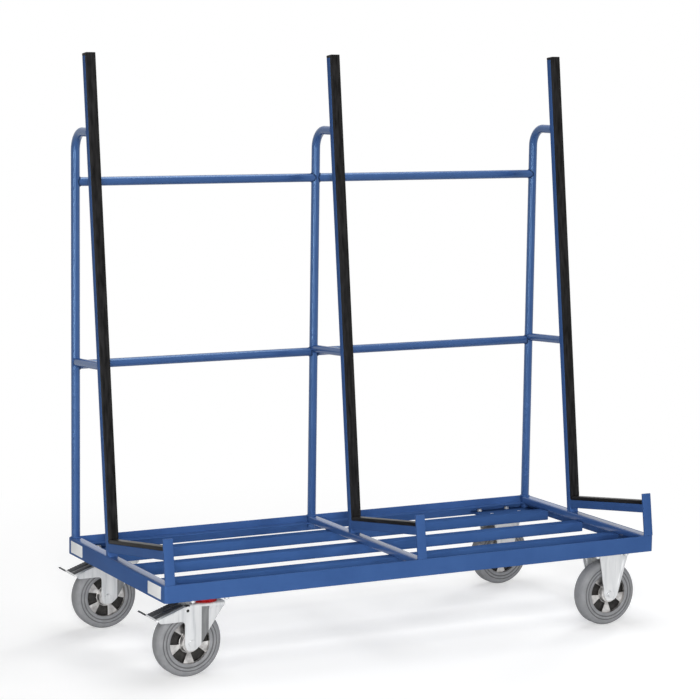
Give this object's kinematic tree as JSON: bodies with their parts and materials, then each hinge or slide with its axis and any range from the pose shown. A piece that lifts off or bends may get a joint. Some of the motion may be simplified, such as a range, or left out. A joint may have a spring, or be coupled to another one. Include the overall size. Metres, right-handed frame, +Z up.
{
  "type": "panel trolley",
  "caption": "One-sided wheeled trolley for sheets and panels: leaning rubber-faced uprights with tilted feet on a low steel frame with braked swivel casters.",
  "frame": {"origin": "centre of the bounding box in plan, on the floor under the wheels", "axes": "+Z up along the uprights, +X along the base towards the fixed casters, +Y to the rear, away from the loading side"},
  "size_m": [1.668, 0.759, 1.74],
  "materials": {
    "blue_paint": "satin powder coat",
    "black_rubber": "matte",
    "zinc": "bright zinc plated",
    "alloy": "cast",
    "tyre": "matte grey",
    "seal": "satin red",
    "pedal": "matte dark grey"
  },
  "bodies": {
    "frame": {"axle_right_front": "zinc", "axle_right_rear": "zinc", "brace_left": "blue_paint", "brace_middle": "blue_paint", "brace_right": "blue_paint", "bracket_right_front": "zinc", "bracket_right_rear": "zinc", "caster_plate_left_front": "zinc", "caster_plate_left_rear": "zinc", "cross_member_left": "blue_paint", "cross_member_middle": "blue_paint", "cross_member_right": "blue_paint", "foot_rail_left": "blue_paint", "foot_rail_middle": "blue_paint", "foot_rail_right": "blue_paint", "foot_rubber_left": "black_rubber", "foot_rubber_middle": "black_rubber", "foot_rubber_right": "black_rubber", "front_rail": "blue_paint", "front_stop_left": "blue_paint", "front_stop_middle": "blue_paint", "front_stop_right": "blue_paint", "left_end_rail": "blue_paint", "lower_bar_left": "blue_paint", "lower_bar_right": "blue_paint", "post_left": "blue_paint", "post_middle": "blue_paint", "post_right": "blue_paint", "rear_rail": "blue_paint", "right_end_rail": "blue_paint", "slat_front": "blue_paint", "slat_middle": "blue_paint", "slat_rear": "blue_paint", "upper_bar_left": "blue_paint", "upper_bar_right": "blue_paint", "upright_left": "blue_paint", "upright_middle": "blue_paint", "upright_right": "blue_paint", "upright_rubber_left": "black_rubber", "upright_rubber_middle": "black_rubber", "upright_rubber_right": "black_rubber"},
    "fork_left_front": {"fork_left_front": "zinc", "axle_left_front": "zinc", "seal_ring_left_front": "seal"},
    "pedal_left_front": {"pedal_left_front": "pedal"},
    "wheel_left_front": {"wheel_rim_left_front": "alloy", "tyre_left_front": "tyre"},
    "wheel_right_front": {"wheel_rim_right_front": "alloy", "tyre_right_front": "tyre"},
    "fork_left_rear": {"fork_left_rear": "zinc", "axle_left_rear": "zinc", "seal_ring_left_rear": "seal"},
    "pedal_left_rear": {"pedal_left_rear": "pedal"},
    "wheel_left_rear": {"wheel_rim_left_rear": "alloy", "tyre_left_rear": "tyre"},
    "wheel_right_rear": {"wheel_rim_right_rear": "alloy", "tyre_right_rear": "tyre"}
  },
  "joints": [
    {"name": "swivel_left_front", "type": "hinge", "parent": "frame", "child": "fork_left_front", "pos_m": [-0.671, -0.3235, 0.212], "axis": [0, 0, 1], "continuous": true},
    {"name": "spin_left_front", "type": "hinge", "parent": "fork_left_front", "child": "wheel_left_front", "pos_m": [-0.724, -0.3235, 0.1], "axis": [0, 1, 0], "continuous": true},
    {"name": "brake_left_front", "type": "hinge", "parent": "fork_left_front", "child": "pedal_left_front", "pos_m": [-0.736, -0.3235, 0.195], "axis": [0, 1, 0], "range_deg": [0, 12]},
    {"name": "spin_right_front", "type": "hinge", "parent": "frame", "child": "wheel_right_front", "pos_m": [0.693, -0.3235, 0.1], "axis": [0, 1, 0], "continuous": true},
    {"name": "swivel_left_rear", "type": "hinge", "parent": "frame", "child": "fork_left_rear", "pos_m": [-0.671, 0.2845, 0.212], "axis": [0, 0, 1], "continuous": true},
    {"name": "spin_left_rear", "type": "hinge", "parent": "fork_left_rear", "child": "wheel_left_rear", "pos_m": [-0.724, 0.2845, 0.1], "axis": [0, 1, 0], "continuous": true},
    {"name": "brake_left_rear", "type": "hinge", "parent": "fork_left_rear", "child": "pedal_left_rear", "pos_m": [-0.736, 0.2845, 0.195], "axis": [0, 1, 0], "range_deg": [0, 12]},
    {"name": "spin_right_rear", "type": "hinge", "parent": "frame", "child": "wheel_right_rear", "pos_m": [0.693, 0.2845, 0.1], "axis": [0, 1, 0], "continuous": true}
  ]
}
